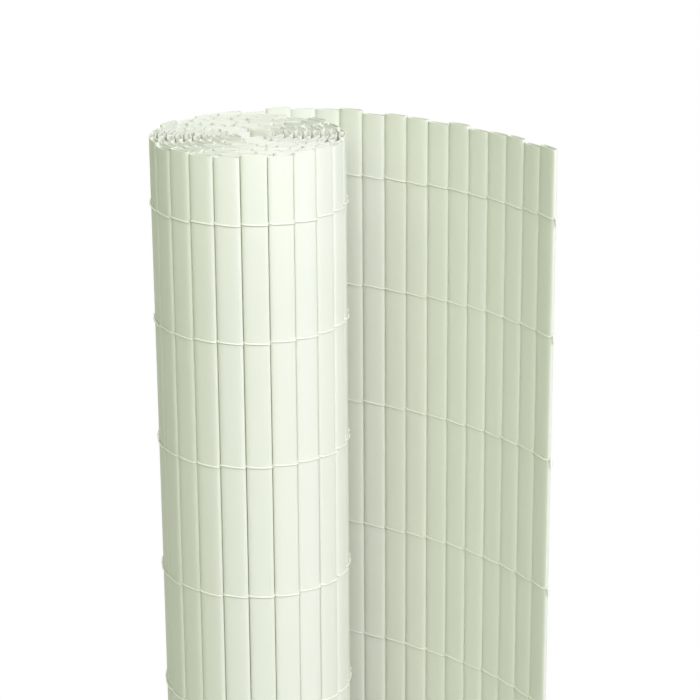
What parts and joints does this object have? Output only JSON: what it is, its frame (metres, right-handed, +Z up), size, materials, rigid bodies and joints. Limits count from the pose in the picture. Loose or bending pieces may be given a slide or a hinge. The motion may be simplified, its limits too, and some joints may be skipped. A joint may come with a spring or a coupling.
{
  "type": "privacy screen",
  "caption": "Rolled privacy screen mat of hollow plastic slats twined side by side on thin cords, standing on end with its loose end sweeping out from behind the roll.",
  "frame": {"origin": "bottom centre of the whole mat's bounding box, on the floor that the slat ends stand on", "axes": "+Z up along the slats, +X towards the side where the loose end reaches, -Y towards the front of the picture"},
  "size_m": [0.3076, 0.1696, 1.0024],
  "materials": {
    "slat_plastic": "satin pale ivory PVC",
    "cord_nylon": "fine twined nylon cord"
  },
  "bodies": {
    "root": {"rolled_turns": "slat_plastic", "slat_01": "slat_plastic", "slat_02": "slat_plastic", "slat_03": "slat_plastic", "slat_04": "slat_plastic", "slat_05": "slat_plastic", "slat_06": "slat_plastic", "slat_07": "slat_plastic", "slat_08": "slat_plastic", "slat_09": "slat_plastic", "slat_10": "slat_plastic", "slat_11": "slat_plastic", "slat_12": "slat_plastic", "slat_13": "slat_plastic", "slat_14": "slat_plastic", "slat_15": "slat_plastic", "slat_16": "slat_plastic", "slat_17": "slat_plastic", "slat_18": "slat_plastic", "slat_19": "slat_plastic", "slat_20": "slat_plastic", "slat_21": "slat_plastic", "slat_22": "slat_plastic", "slat_23": "slat_plastic", "slat_24": "slat_plastic", "slat_25": "slat_plastic", "slat_26": "slat_plastic", "slat_27": "slat_plastic", "slat_28": "slat_plastic", "slat_29": "slat_plastic", "slat_30": "slat_plastic", "slat_31": "slat_plastic", "slat_32": "slat_plastic", "slat_33": "slat_plastic", "slat_34": "slat_plastic", "slat_35": "slat_plastic", "slat_36": "slat_plastic", "cord_01": "cord_nylon", "cord_02": "cord_nylon", "cord_03": "cord_nylon", "cord_04": "cord_nylon", "cord_05": "cord_nylon", "cord_06": "cord_nylon", "cord_07": "cord_nylon", "cord_08": "cord_nylon", "cord_09": "cord_nylon", "cord_10": "cord_nylon"}
  },
  "joints": []
}
